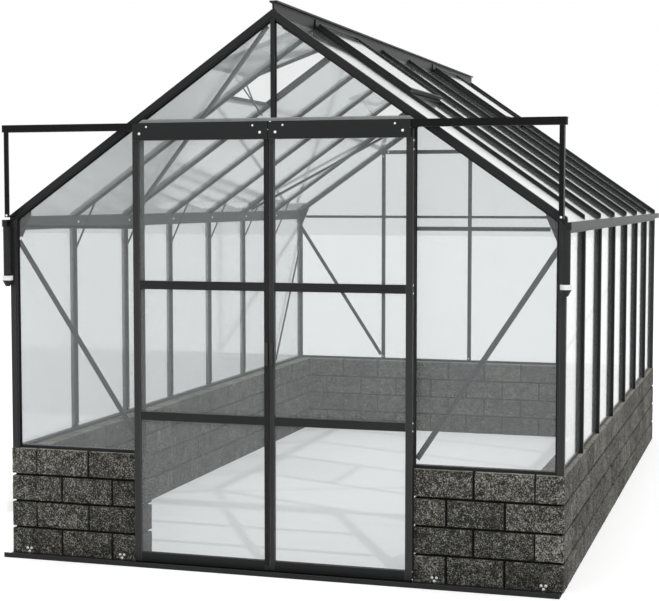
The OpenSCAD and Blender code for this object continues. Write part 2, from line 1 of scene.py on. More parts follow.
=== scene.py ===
# %% [markdown]
# # A glass greenhouse on a block wall
# A dark aluminium glasshouse stands on a low wall of rough concrete blocks. The frame, the glass and
# the doors are true solids that come with the part. This notebook gives them their finishes, lays the
# wall block by block, and adds the small fixings that hold a house like this together.

# %% Load the fixed frame
import bpy
import json
import math
import random
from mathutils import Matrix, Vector, geometry, noise


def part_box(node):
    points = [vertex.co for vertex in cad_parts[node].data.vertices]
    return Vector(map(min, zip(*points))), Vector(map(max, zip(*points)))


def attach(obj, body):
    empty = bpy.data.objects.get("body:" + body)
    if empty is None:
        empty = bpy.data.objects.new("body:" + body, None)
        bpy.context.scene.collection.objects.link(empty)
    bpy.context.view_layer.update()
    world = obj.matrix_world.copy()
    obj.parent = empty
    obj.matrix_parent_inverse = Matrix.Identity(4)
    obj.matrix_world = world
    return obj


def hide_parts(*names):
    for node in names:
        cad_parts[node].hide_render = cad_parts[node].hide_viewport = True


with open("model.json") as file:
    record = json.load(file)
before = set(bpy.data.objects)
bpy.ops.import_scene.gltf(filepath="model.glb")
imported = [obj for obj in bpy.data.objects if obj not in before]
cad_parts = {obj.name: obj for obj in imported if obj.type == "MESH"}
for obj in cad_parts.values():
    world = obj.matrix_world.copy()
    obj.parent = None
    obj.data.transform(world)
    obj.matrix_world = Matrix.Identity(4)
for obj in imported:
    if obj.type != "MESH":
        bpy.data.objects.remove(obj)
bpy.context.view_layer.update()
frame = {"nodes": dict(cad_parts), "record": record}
nodes = frame["nodes"]
MM = 0.001
SIDES = ((-1, "left"), (1, "right"))
front_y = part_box("front_wall_left")[0].y
wall_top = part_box("left_wall")[1].z
print("solids loaded:", len(nodes), "front of the wall at y =", round(front_y, 3))

# %% [markdown]
# ## The camera
# The picture was taken at eye height, a little to the right of the doors, with a long lens. Solving
# the corners of the wall and the frame gives the place, the turn and the focal length below, so the
# render falls on the picture without any later fitting. The small shift says that the picture was
# trimmed a few pixels off its optical centre.

# %% Camera
IMAGE_W = 659
IMAGE_H = 601
FOCAL_PX = 1519.94
CENTRE_PX = (323.82, 298.67)
CAMERA_RIGHT = 2.1799
CAMERA_BACK = 6.3616
CAMERA_EYE = 1.6665
CAMERA_TURN = 16.982
CAMERA_DIP = 3.734
scene = bpy.context.scene
camera_data = bpy.data.cameras.new("camera")
camera = bpy.data.objects.new("camera", camera_data)
scene.collection.objects.link(camera)
camera.location = (CAMERA_RIGHT, front_y - CAMERA_BACK, CAMERA_EYE)
camera.rotation_euler = (math.radians(90 - CAMERA_DIP), 0, math.radians(CAMERA_TURN))
camera_data.sensor_fit = "HORIZONTAL"
camera_data.sensor_width = 36
camera_data.lens = camera_data.sensor_width*FOCAL_PX/IMAGE_W
camera_data.shift_x = (IMAGE_W/2 - CENTRE_PX[0])/IMAGE_W
camera_data.shift_y = (CENTRE_PX[1] - IMAGE_H/2)/IMAGE_W
scene.camera = camera
print("lens", round(camera_data.lens, 1), "mm")

# %% [markdown]
# ## Colours and nodes
# Colours are written as the sRGB hex values that a paint chart or a screen shows. Shaders work in
# linear light, so one function turns them. A shader node is added with its inputs: a plain value goes
# to the socket itself, and an output of another node becomes a link. The stops of a colour ramp are
# given with the node, first to last.

# %% Helpers for materials
WHITE = (1, 1, 1, 1)


def linear(hex_colour):
    channels = [int(hex_colour[i:i + 2], 16)/255 for i in (1, 3, 5)]
    return [c/12.92 if c <= 0.04045 else ((c + 0.055)/1.055)**2.4 for c in channels] + [1.0]


def set_inputs(tree, node, inputs):
    for name, value in inputs.items():
        if isinstance(value, bpy.types.NodeSocket):
            tree.links.new(value, node.inputs[name])
        else:
            node.inputs[name].default_value = value


def add_node(tree, kind, inputs=None, stops=(), **settings):
    made = tree.nodes.new("ShaderNode" + kind)
    for name, value in settings.items():
        setattr(made, name, value)
    set_inputs(tree, made, inputs or {})
    if stops:
        band = made.color_ramp.elements
        for stop, (position, colour) in ((band[0], stops[0]), (band[1], stops[-1])):
            stop.position = position
            stop.color = linear(colour)
        for position, colour in stops[1:-1]:
            band.new(position).color = linear(colour)
    return made


def new_material(name):
    material = bpy.data.materials.new(name)
    material.use_nodes = True
    tree = material.node_tree
    shader = tree.nodes["Principled BSDF"]
    place = add_node(tree, "TexCoord").outputs["Object"]
    return material, tree, shader, place


def per_metre(size_mm):
    return 1000/size_mm


# %% [markdown]
# ## Powder-coated aluminium
# The bars are extruded aluminium with a satin black powder coat, sprayed on dry and baked. The coat
# flows into a faint orange peel about a millimetre apart, which breaks up the highlights, and its
# tone drifts a little between batches of bars. At this distance a millimetre can't show, so the
# peel is drawn several times coarser. The paint covers the metal, so the shader isn't metallic.
# Powder pulls thin on sharp edges and those are rubbed first, so a paler line is painted along them;
# part of that line is a painted highlight, where the edges catch the light. The edges are found by
# asking how far the normal would turn if the edge were rounded. The door track and its struts are
# painted a deeper, flatter black as painted shade, and the uprights of the doors and corners a touch
# paler as painted light.

# %% Powder coat
PEEL_MM = 5
PEEL_DEPTH = 0.6*MM
TONE_MM = 420
WORN_AND_LIT_EDGE = 2.5*MM


def powder_coat(name, dark, pale, worn_and_lit_edge, sheen):
    material, tree, shader, place = new_material(name)
    tone = add_node(tree, "TexNoise", {"Vector": place, "Scale": per_metre(TONE_MM), "Detail": 3})
    ramp = add_node(tree, "ValToRGB", {"Fac": tone.outputs["Fac"]}, [(0.35, dark), (0.65, pale)])
    peel = add_node(tree, "TexNoise", {"Vector": place, "Scale": per_metre(PEEL_MM), "Detail": 2})
    grain = peel.outputs["Fac"]
    gloss = add_node(tree, "MapRange", {"Value": grain, "To Min": 0.38, "To Max": 0.52})
    bump = add_node(tree, "Bump", {"Height": grain, "Strength": 0.06, "Distance": PEEL_DEPTH})
    # Paler edge line: partly rubbed powder, partly a painted highlight on the edges.
    rounded = add_node(tree, "Bevel", {"Radius": WORN_AND_LIT_EDGE}, samples=6).outputs["Normal"]
    flat = add_node(tree, "NewGeometry").outputs["Normal"]
    turned = add_node(tree, "VectorMath", {0: rounded, 1: flat}, operation="DOT_PRODUCT").outputs["Value"]
    edge = add_node(tree, "MapRange", {"Value": turned, "From Min": 0.99, "From Max": 0.8})
    coat = add_node(tree, "MixRGB", {"Fac": edge.outputs["Result"], "Color1": ramp.outputs["Color"],
        "Color2": linear(worn_and_lit_edge)})
    set_inputs(tree, shader, {"Base Color": coat.outputs["Color"], "Roughness": gloss.outputs["Result"],
        "Normal": bump.outputs["Normal"], "Specular IOR Level": sheen})
    return material


frame_coat = powder_coat("satin_black_powder_coat", "#131414", "#181919", "#4a4c4c", 0.26)
# The same coat again: painted shade on the track and struts, painted light on the uprights.
track_coat_painted_shade = powder_coat("black_powder_coat_painted_shade", "#0b0b0b", "#0f0f0f", "#333434", 0.13)
upright_coat_painted_light = powder_coat("black_powder_coat_painted_light", "#232423", "#292a29", "#5a5c5a", 0.27)
print("made", frame_coat.name, track_coat_painted_shade.name, upright_coat_painted_light.name)

# %% [markdown]
# ## Float glass
# The panes are 4 mm float glass: flat, clear, a touch blue-green, with a film of dust that greys
# whatever stands behind it. Full refraction would need many light paths and would darken the house,
# so the pane is a thin veil: light goes straight through with a faint tint, and a small share of the
# surface is a pale film, which grows as the pane turns away and the look through it gets longer. A
# pane has two faces, so each carries half. Seen along its surface glass no longer lets you look
# through: the pale surroundings glare in it, as on the near roof slope. That glare is a slightly
# blurred mirror, mixed in with a high power of the facing angle, which is how the reflection of a
# clear surface grows. The vents' panes are dustier and greyer. The roof's first bay, beside the gable,
# is hazier than the rest, so its glare is soft; only close under the ridge, where the rain runs off
# first, does it mirror the crest.

# %% Glass
GLASS_TINT = "#fdfefe"
GLASS_VEIL = 0.145
VENT_VEIL = 0.26
VEIL_GROWTH = 0.32
PANE_GLARE = 5.0
ROOF_GLARE = 6.0
GLARE_BLUR = 0.08
HAZE_BLUR = 0.5
HAZE_FADE = 0.03
RINSED = 0.12
DUST_MM = 900
first_bay_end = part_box("right_rafters")[0].y
under_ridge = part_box("right_roof_glass")[1].z - RINSED


def float_glass(name, pale, dusty, film_share, glare_power, haze_end):
    material, tree, film, place = new_material(name)
    dust_and_top_light = add_node(tree, "TexNoise", {"Vector": place, "Scale": per_metre(DUST_MM), "Detail": 2})
    ramp = add_node(tree, "ValToRGB", {"Fac": dust_and_top_light.outputs["Fac"]}, [(0, pale), (1, dusty)])
    set_inputs(tree, film, {"Base Color": ramp.outputs["Color"], "Roughness": 0.05, "IOR": 1.52})
    through = add_node(tree, "BsdfTransparent", {"Color": linear(GLASS_TINT)})
    facing = add_node(tree, "LayerWeight", {"Blend": 0.5}).outputs["Facing"]
    squared = add_node(tree, "Math", {0: facing, 1: 2.0}, operation="POWER").outputs[0]
    veil = add_node(tree, "Math", {0: squared, 1: VEIL_GROWTH, 2: film_share}, operation="MULTIPLY_ADD")
    pane = add_node(tree, "MixShader", {0: veil.outputs[0], 1: through.outputs[0], 2: film.outputs[0]})
    spot = add_node(tree, "SeparateXYZ", {0: place})
    near = add_node(tree, "Math", {0: spot.outputs["Y"], 1: haze_end}, operation="LESS_THAN")
    below = add_node(tree, "MapRange", {"Value": spot.outputs["Z"], "From Min": under_ridge + HAZE_FADE,
        "From Max": under_ridge - HAZE_FADE})
    hazy = add_node(tree, "Math", {0: near.outputs[0], 1: below.outputs["Result"]}, operation="MULTIPLY")
    blur = add_node(tree, "MapRange", {"Value": hazy.outputs[0], "To Min": GLARE_BLUR, "To Max": HAZE_BLUR})
    glare = add_node(tree, "BsdfGlossy", {"Color": WHITE, "Roughness": blur.outputs["Result"]})
    growth = add_node(tree, "Math", {0: facing, 1: glare_power}, operation="POWER")
    both = add_node(tree, "MixShader", {0: growth.outputs[0], 1: pane.outputs[0], 2: glare.outputs[0]})
    set_inputs(tree, tree.nodes["Material Output"], {"Surface": both.outputs[0]})
    return material


pane_glass = float_glass("clear_float_glass", "#bbbfbf", "#b2b6b6", GLASS_VEIL, PANE_GLARE, front_y)
roof_glass = float_glass("hazy_roof_glass", "#bbbfbf", "#b2b6b6", GLASS_VEIL, ROOF_GLARE, first_bay_end)
vent_glass = float_glass("dusty_vent_glass", "#8a8e8e", "#808484", VENT_VEIL, ROOF_GLARE, front_y)
print("made", pane_glass.name, roof_glass.name, vent_glass.name)

# %% [markdown]
# ## Concrete blocks
# The wall is laid from pressed concrete blocks with a broken, weathered face: a dark grey paste with
# pale grains of a few millimetres, soft patches where damp and dust settle, faint rusty stains and
# small pits. Each block came from the press a little lighter or darker, which a per-block value in
# the mesh carries into the shader; the same value paints the right-hand side wall a little lighter,
# as painted light on the side that faces the light. The wall's top face is painted paler, as painted
# light from above. The joints are raked out and lie in shade; the mortar at their bottom is painted
# near black, partly a dark mortar and partly painted shade.

# %% Block and mortar
GRAIN_MM = 15
SPECK_MM = 4.5
PATCH_MM = 60
PATCH_SHARE = 0.28
PIT_MM = 14
PIT_DEPTH = 4*MM
STAIN_MM = 70
STAIN_SHARE = 0.25
# Painted light: how much paler the wall's top face is painted.
TOP_PAINTED_LIGHT = 0.2
TOP_DEPTH = 10*MM
DARKEST = 0.885
PALEST = 1.455


def rough_block_finish(name, dark, middle, pale, stain):
    material, tree, shader, place = new_material(name)
    grain = add_node(tree, "TexNoise", {"Vector": place, "Scale": per_metre(GRAIN_MM), "Detail": 6,
        "Roughness": 0.72, "Distortion": 1.2}).outputs["Fac"]
    speck = add_node(tree, "TexNoise", {"Vector": place, "Scale": per_metre(SPECK_MM), "Detail": 1})
    patch = add_node(tree, "TexNoise", {"Vector": place, "Scale": per_metre(PATCH_MM), "Detail": 3})
    fine = add_node(tree, "Math", {0: grain, 1: speck.outputs["Fac"]}).outputs[0]
    mixed = add_node(tree, "Math", {0: patch.outputs["Fac"], 1: PATCH_SHARE, 2: fine},
        operation="MULTIPLY_ADD")
    own = add_node(tree, "Attribute", attribute_name="block_tone")
    bare = add_node(tree, "Math", {0: mixed.outputs[0], 1: own.outputs["Fac"]}).outputs[0]
    turn = add_node(tree, "SeparateXYZ", {0: add_node(tree, "NewGeometry").outputs["True Normal"]})
    # Painted light: faces that look up, near the wall's top, are painted paler.
    dust_and_top_light = add_node(tree, "MapRange", {"Value": turn.outputs["Z"], "From Min": 0.6, "From Max": 0.9,
        "To Max": TOP_PAINTED_LIGHT}).outputs["Result"]
    level = add_node(tree, "SeparateXYZ", {0: place}).outputs["Z"]
    top = add_node(tree, "Math", {0: level, 1: wall_top - TOP_DEPTH}, operation="GREATER_THAN").outputs[0]
    toned = add_node(tree, "Math", {0: dust_and_top_light, 1: top, 2: bare}, operation="MULTIPLY_ADD").outputs[0]
    share = add_node(tree, "MapRange", {"Value": toned, "From Min": DARKEST, "From Max": PALEST})
    ramp = add_node(tree, "ValToRGB", {"Fac": share.outputs["Result"]},
        [(0.1, dark), (0.5, middle), (0.9, pale)])
    damp = add_node(tree, "TexNoise", {"Vector": place, "Scale": per_metre(STAIN_MM), "Detail": 5})
    rust = add_node(tree, "MapRange", {"Value": damp.outputs["Fac"], "From Min": 0.55, "From Max": 0.75,
        "To Max": STAIN_SHARE})
    stained = add_node(tree, "MixRGB", {"Fac": rust.outputs["Result"], "Color1": ramp.outputs["Color"],
        "Color2": linear(stain)})
    pit = add_node(tree, "TexVoronoi", {"Vector": place, "Scale": per_metre(PIT_MM)})
    height = add_node(tree, "Math", {0: grain, 1: pit.outputs["Distance"]}).outputs[0]
    bump = add_node(tree, "Bump", {"Height": height, "Strength": 0.7, "Distance": PIT_DEPTH})
    set_inputs(tree, shader, {"Base Color": stained.outputs["Color"], "Normal": bump.outputs["Normal"],
        "Roughness": 0.92, "Specular IOR Level": 0.2})
    return material


block_stone = rough_block_finish("weathered_concrete_block", "#1a1a17", "#41413c", "#9a9991", "#574a42")
# The mortar's near-black colours are partly a dark mortar and partly painted shade in the joints.
mortar = rough_block_finish("raked_mortar_in_shade", "#0f0f0f", "#161615", "#232321", "#1c1816")
print("made", block_stone.name, mortar.name)

# %% [markdown]
# ## Fixings and plastics
# Bolts and screws are zinc-plated steel, bright enough to read as white dots. The collars of the
# downpipes are moulded white plastic, the pipes black plastic, and the door rollers turned steel. All
# have a fine moulded or plated grain and a little grime in soft spots.

# %% Small materials
GRIME_MM = 35
MOULD_DEPTH = 0.5*MM
SMOOTHER = 0.06
ROUGHER = 0.08


def moulded(name, colour, grimy, roughness, metallic=0.0):
    material, tree, shader, place = new_material(name)
    grime = add_node(tree, "TexNoise", {"Vector": place, "Scale": per_metre(GRIME_MM), "Detail": 3})
    ramp = add_node(tree, "ValToRGB", {"Fac": grime.outputs["Fac"]}, [(0.45, colour), (0.75, grimy)])
    mould = add_node(tree, "TexNoise", {"Vector": place, "Scale": per_metre(PEEL_MM), "Detail": 2})
    grain = mould.outputs["Fac"]
    wear = add_node(tree, "MapRange", {"Value": grain, "To Min": roughness - SMOOTHER,
        "To Max": roughness + ROUGHER})
    bump = add_node(tree, "Bump", {"Height": grain, "Strength": 0.04, "Distance": MOULD_DEPTH})
    set_inputs(tree, shader, {"Base Color": ramp.outputs["Color"], "Roughness": wear.outputs["Result"],
        "Normal": bump.outputs["Normal"], "Metallic": metallic, "Specular IOR Level": 0.3})
    return material


zinc = moulded("zinc_plated_steel", "#f2f3f2", "#dcdddc", 0.34, 1.0)
turned_steel = moulded("turned_steel", "#9b9c9b", "#858685", 0.3, 1.0)
white_plastic = moulded("moulded_white_plastic", "#f0f0ee", "#e2e2de", 0.45)
black_plastic = moulded("moulded_black_plastic", "#151616", "#1b1c1c", 0.42)
print("made", zinc.name, turned_steel.name, white_plastic.name, black_plastic.name)

# %% [markdown]
# ## Which solid wears what
# Each solid of the part says what kind of material it is made of, and that picks its finish. A few
# have a finish of their own: the panes of the roof and the vents, and the profiles whose black is
# painted darker as painted shade, on the track, and paler as painted light, on the uprights.

# %% Finish of the solids
SLOT_FINISH = {"frame": frame_coat, "glass": pane_glass, "block": block_stone, "roller": turned_steel,
    "white_plastic": white_plastic, "black_plastic": black_plastic}
OWN_FINISH = {"left_roof_glass": roof_glass, "right_roof_glass": roof_glass, "vent_glass": vent_glass,
    "door_track": track_coat_painted_shade, "track_struts": track_coat_painted_shade, "corner_posts": upright_coat_painted_light,
    "left_door_stiles": upright_coat_painted_light, "right_door_stiles": upright_coat_painted_light}
for part in frame["record"]["subparts"]:
    mesh = nodes[part["node"]].data
    mesh.materials.clear()
    mesh.materials.append(OWN_FINISH.get(part["node"], SLOT_FINISH[part["material_slot"]]))

# %% [markdown]
# ## Laying the wall
# A real wall of this kind is laid in running bond: each course is set half a block along from the
# one below, and at the corners the long blocks of one wall and of the next take turns. The blocks
# could be one bump texture, but their raked joints show as notches on the outline, so each is its
# own small mesh: a lattice on the block's surface, its edges broken back and its faces pushed in and
# out by noise. All blocks of a wall are joined in one piece, with a core of mortar behind the joints.

# %% Block mesh
RIM = 4*MM
CELL = 24*MM
EDGE_BREAK = 1.6*MM
EDGE_LEAST = 0.5
CHIPS_PER_METRE = 60
FACE_ROUGH = 1.4*MM
FACE_LEVEL = 0.6
ROUGH_GRAIN = 22*MM
FINER = 2.3
FINER_SHARE = 0.6
NOISE_RANGE = 50
random.seed(11)


def lattice(low, high):
    steps = max(2, round((high - low)/CELL))
    inside = [low + RIM + (high - low - 2*RIM)*i/steps for i in range(steps + 1)]
    return [low] + inside + [high]


def add_block(low, high, verts, faces):
    axes = [lattice(low[a], high[a]) for a in range(3)]
    last = [len(a) - 1 for a in axes]
    drift = Vector([random.uniform(0, NOISE_RANGE) for a in range(3)])
    index = {}

    def vertex(spot):
        if spot in index:
            return index[spot]
        point = Vector([axes[a][n] for a, n in enumerate(spot)])
        inward = Vector([(-1 if n == last[a] else 1 if n == 0 else 0) for a, n in enumerate(spot)])
        if inward.length > 1:
            chip = abs(noise.noise(point*CHIPS_PER_METRE + drift))
            point += inward*EDGE_BREAK*(EDGE_LEAST + chip)
        coarse = noise.noise(point/ROUGH_GRAIN + drift)
        fine = noise.noise(point/ROUGH_GRAIN*FINER + drift)
        point += inward.normalized()*FACE_ROUGH*max(0, FACE_LEVEL + coarse + FINER_SHARE*fine)
        index[spot] = len(verts)
        verts.append(point)
        return index[spot]

    for a in range(3):
        b, c = (a + 1) % 3, (a + 2) % 3
        for end in (0, last[a]):
            for p in range(last[b]):
                for q in range(last[c]):
                    ring = []
                    for dp, dq in ((0, 0), (1, 0), (1, 1), (0, 1)):
                        spot = [0, 0, 0]
                        spot[a], spot[b], spot[c] = end, p + dp, q + dq
                        ring.append(vertex(tuple(spot)))
                    faces.append(ring if end else ring[::-1])


# %% [markdown]
# The bond follows the picture: on the lowest and third course a long block of the front wall reaches
# the corner and the side walls start behind it; on the second and top course a long block of
# the side wall shows its end at the front. Each block is cut back by half a joint where it meets the
# next one, and not at the wall's open ends, foot or top.

# %% Wall layout
JOINT = 9.5*MM
COURSES = 4
STRETCHER = 256*MM
FRONT_COUNT = 2
SIDE_COUNT = 16
REAR_COUNT = 9
wall_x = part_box("right_wall")[1].x
wall_back_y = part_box("rear_wall")[1].y
wall_t = wall_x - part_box("right_wall")[0].x
door_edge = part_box("front_wall_right")[0].x
course_h = wall_top/COURSES
open_ends = [door_edge, wall_x, -wall_x, front_y, wall_back_y]


def split(start, end, count):
    return [start + (end - start)*i/count for i in range(count + 1)]


def course_joints(kind, long_corner):
    if kind == "front" and long_corner:
        return [door_edge, wall_x - 2*STRETCHER, wall_x - STRETCHER, wall_x]
    if kind == "front":
        return split(door_edge, wall_x - wall_t, FRONT_COUNT)
    if kind == "side" and long_corner:
        return split(front_y + wall_t, wall_back_y - wall_t, SIDE_COUNT)
    if kind == "side":
        return split(front_y, wall_back_y, SIDE_COUNT + 1)
    if long_corner:
        return split(-wall_x, wall_x, REAR_COUNT + 1)
    return split(wall_t - wall_x, wall_x - wall_t, REAR_COUNT)


def wall_blocks(kind, side=1):
    boxes = []
    for course in range(COURSES):
        z0 = course*course_h + (JOINT/2 if course else 0)
        z1 = (course + 1)*course_h - (JOINT/2 if course < COURSES - 1 else 0)
        joints = course_joints(kind, course % 2 == 0)
        for a, b in zip(joints[:-1], joints[1:]):
            a += 0 if a in open_ends else JOINT/2
            b -= 0 if b in open_ends else JOINT/2
            if kind == "side":
                low, high = (wall_x - wall_t, a, z0), (wall_x, b, z1)
            elif kind == "front":
                low, high = (a, front_y, z0), (b, front_y + wall_t, z1)
            else:
                low, high = (a, wall_back_y - wall_t, z0), (b, wall_back_y, z1)
            if side < 0:
                low, high = (-high[0], *low[1:]), (-low[0], *high[1:])
            boxes.append((low, high))
    return boxes


print("courses of", round(course_h/MM), "mm, wall", round(wall_t/MM), "mm thick")

# %% [markdown]
# Each piece that joins the solids is one mesh. It rides on the body that carries it, so that what sits
# on a door slides with it, and it gets its own material. The laid walls stand for the plain wall
# solids, which are hidden; their core of mortar lies a little behind the blocks.

# %% New pieces
def new_piece(name, verts, faces, materials, body):
    mesh = bpy.data.meshes.new(name)
    mesh.from_pydata([tuple(v) for v in verts], [], faces)
    for material in materials:
        mesh.materials.append(material)
    mesh.update()
    piece = bpy.data.objects.new(name, mesh)
    scene.collection.objects.link(piece)
    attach(piece, body)
    return piece


def add_box(low, high, verts, faces):
    start = len(verts)
    for x in (low[0], high[0]):
        verts += [Vector((x, y, z)) for y in (low[1], high[1]) for z in (low[2], high[2])]
    for ring in ((0, 1, 3, 2), (4, 6, 7, 5), (0, 4, 5, 1), (2, 3, 7, 6), (0, 2, 6, 4), (1, 5, 7, 3)):
        faces.append([start + i for i in ring])


# %% Walls
RAKE = 14*MM
MORTAR_DOWN = 6*MM
TONE_SPREAD = 0.045
# Painted light: the right-hand side wall is made a little lighter than the others.
RIGHT_WALL_PAINTED_LIGHT = 0.04


def lay_wall(name, node, boxes, core_low, core_high, painted_light=0.0):
    verts, faces, tones = [], [], []
    for low, high in boxes:
        add_block(low, high, verts, faces)
        # The block's own tone, plus the painted light of the right-hand side wall.
        tone_and_painted_light = painted_light + random.uniform(-TONE_SPREAD, TONE_SPREAD)
        tones += [tone_and_painted_light]*(len(verts) - len(tones))
    block_faces = len(faces)
    add_box(core_low, core_high, verts, faces)
    tones += [0.0]*(len(verts) - len(tones))
    piece = new_piece(name, verts, faces, [block_stone, mortar], "house")
    finishes = [0]*block_faces + [1]*(len(faces) - block_faces)
    piece.data.polygons.foreach_set("material_index", finishes)
    tone_layer = piece.data.attributes.new("block_tone", "FLOAT", "POINT")
    tone_layer.data.foreach_set("value", tones)
    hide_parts(node)
    return len(boxes)


mortar_top = wall_top - MORTAR_DOWN
block_count = 0
for side, word in SIDES:
    low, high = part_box(f"front_wall_{word}")
    block_count += lay_wall(f"front_{word}_blocks", f"front_wall_{word}", wall_blocks("front", side),
        (low.x + RAKE, low.y + RAKE, 0), (high.x - RAKE, high.y - RAKE, mortar_top))
    low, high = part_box(f"{word}_wall")
    block_count += lay_wall(f"{word}_side_blocks", f"{word}_wall", wall_blocks("side", side),
        (low.x + RAKE, low.y - RAKE, 0), (high.x - RAKE, high.y + RAKE, mortar_top),
        RIGHT_WALL_PAINTED_LIGHT if side > 0 else 0.0)
low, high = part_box("rear_wall")
block_count += lay_wall("rear_blocks", "rear_wall", wall_blocks("rear"),
    (low.x + RAKE, low.y + RAKE, 0), (high.x - RAKE, high.y - RAKE, mortar_top))
print("blocks laid:", block_count)

# %% [markdown]
# ## Bolts and screws
# The frame is bolted together from inside and the doors are screwed at their corners. The heads are
# small domes of bright zinc. They are read as white dots all over the picture: on the header
# plates, on the outer edges of the doors, at the foot of each bar, at each rafter's foot on the eave
# beam and where rails and braces cross the bars. Anchors in threes at the wall's foot wear white caps.

# %% Dome heads
HEAD_SIDES = 14
HEAD_RINGS = ((1.0, -0.1), (1.0, 0.25), (0.86, 0.5), (0.55, 0.68))


def add_head(centre, axis, radius, verts, faces):
    axis = Vector(axis).normalized()
    across = axis.orthogonal().normalized()
    along = axis.cross(across)
    start = len(verts)
    for share, rise in HEAD_RINGS:
        for i in range(HEAD_SIDES):
            turn = 2*math.pi*i/HEAD_SIDES
            around = across*math.cos(turn) + along*math.sin(turn)
            verts.append(Vector(centre) + around*radius*share + axis*radius*rise)
    for ring in range(len(HEAD_RINGS) - 1):
        for i in range(HEAD_SIDES):
            a = start + ring*HEAD_SIDES + i
            b = start + ring*HEAD_SIDES + (i + 1) % HEAD_SIDES
            faces.append([a, b, b + HEAD_SIDES, a + HEAD_SIDES])
    top = start + (len(HEAD_RINGS) - 1)*HEAD_SIDES
    faces.append([top + i for i in range(HEAD_SIDES)])


def head_piece(name, body, spots, finish=zinc):
    verts, faces = [], []
    for centre, axis, radius in spots:
        add_head(centre, axis, radius, verts, faces)
    piece = new_piece(name, verts, faces, [finish], body)
    piece.data.polygons.foreach_set("use_smooth", [True]*len(faces))
    print(name, len(spots))


# %% [markdown]
# Each end of a door's header plate has a large and a small screw, set in from the plate's end and down
# from its top. On the door's outer edge a pair sits at each rail, evenly about the rail's middle.

# %% Door screws
LARGE = 6.5*MM
LARGE_SPOT = (33*MM, 44.5*MM)
SMALL = 4.8*MM
SMALL_SPOT = (67*MM, 14.5*MM)
EDGE_SCREW = 4*MM
EDGE_FORWARD = 3*MM
RAIL_PAIRS = ((0.039, 17*MM), (0.687, 17*MM), (1.282, 17*MM), (1.899, 19*MM))
for side, word in SIDES:
    low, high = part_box(f"{word}_door_rails")
    stile_low, stile_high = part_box(f"{word}_door_stiles")
    spots = []
    header_ends = (low.x, door_edge) if side > 0 else (-door_edge, high.x)
    for end, inward in zip(header_ends, (1, -1)):
        for radius, (along, down) in ((LARGE, LARGE_SPOT), (SMALL, SMALL_SPOT)):
            spots.append(((end + inward*along, low.y, high.z - down), (0, -1, 0), radius))
    outer = stile_high.x if side > 0 else stile_low.x
    edge_y = (stile_low.y + stile_high.y)/2 - EDGE_FORWARD
    for rail_z, half in RAIL_PAIRS:
        for z in (rail_z - half, rail_z + half):
            spots.append(((outer, edge_y, z), (side, 0, 0), EDGE_SCREW))
    head_piece(f"{word}_door_screws", f"{word}_door", spots)

# %% [markdown]
# On the front a bolt closes the middle of the track and one holds the foot of each strut. The anchors
# stand beside the doorway and near the corners.

# %% Front bolts and anchor caps
BOLT = 5.5*MM
TRACK_BOLT = (9*MM, 5*MM)
STRUT_BOLT = (10*MM, 9*MM)
CAP = 6.5*MM
CAP_SINK = 1*MM
CAP_SPOTS = ((-10*MM, 27*MM), (10*MM, 27*MM), (0, 12*MM))
ANCHORS = (0.738, 1.213)
track_low, track_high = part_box("door_track")
strut_low, strut_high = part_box("track_struts")
spots = [((TRACK_BOLT[0], track_low.y, track_high.z - TRACK_BOLT[1]), (0, -1, 0), BOLT)]
caps = []
for side in (-1, 1):
    strut_x = side*(strut_high.x - STRUT_BOLT[0])
    spots.append(((strut_x, strut_low.y, strut_low.z + STRUT_BOLT[1]), (0, -1, 0), BOLT))
    for x in ANCHORS:
        caps += [((side*x + dx, front_y + CAP_SINK, z), (0, -1, 0), CAP) for dx, z in CAP_SPOTS]
head_piece("front_bolts", "house", spots)
head_piece("anchor_caps", "house", caps, white_plastic)

# %% [markdown]
# Inside, each side bar has a bolt at its foot, one at the eave beam and a small one for its knee stay.
# The bars of the gables have one at the foot and two at the lintel.

# %% Inside bolts
BAYS = 7
BAR_HALF = 14*MM
FOOT_UP = 10*MM
BEAM_BESIDE = 24*MM
BEAM_UP = 32*MM
STAY_DOWN = 94*MM
LINTEL_DOWN = 30*MM
LINTEL_SHARE = 0.94
bar_low, bar_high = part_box("right_wall_bars")
bar_in = bar_low.x
beam_z = bar_high.z
first_bar = bar_low.y + BAR_HALF
last_bar = bar_high.y - BAR_HALF
bar_ys = split(first_bar, last_bar, BAYS - 2)
sill_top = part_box("side_sills")[1].z
front_bars_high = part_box("front_gable_bars")[1]
rear_bars_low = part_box("rear_gable_bars")[0]
jamb_x = front_bars_high.x - BAR_HALF
lintel_low, lintel_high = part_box("lintels")
lintel_z = (lintel_low.z + lintel_high.z)/2
gable_bars = ((rear_bars_low.y, -1, (-jamb_x, 0, jamb_x)), (front_bars_high.y, 1, (-jamb_x, jamb_x)))
spots = []
for side in (-1, 1):
    for y in bar_ys:
        spots.append(((side*bar_in, y, sill_top + FOOT_UP), (-side, 0, 0), BOLT))
        spots.append(((side*bar_in, y + BEAM_BESIDE, beam_z + BEAM_UP), (-side, 0, 0), BOLT))
        spots.append(((side*bar_in, y, beam_z - STAY_DOWN), (-side, 0, 0), SMALL))
for face_y, facing, xs in gable_bars:
    for x in xs:
        spots.append(((x, face_y, sill_top + FOOT_UP), (0, facing, 0), BOLT))
    for x in (-jamb_x, jamb_x):
        spots.append(((x, face_y, lintel_z - LINTEL_DOWN), (0, facing, 0), BOLT))
        spots.append(((x*LINTEL_SHARE, face_y, lintel_z), (0, facing, 0), BOLT))
head_piece("inside_bolts", "house", spots)

# %% [markdown]
# ## Glazing gaskets
# The panes of the gables are bedded in black rubber along the corner posts and the gable rafters. The
# strip shows as a dark line beside the profile and makes it look broader. Each strip is an outline
# drawn out along its length, with its lips rounded over. The other small fittings are made the same way.

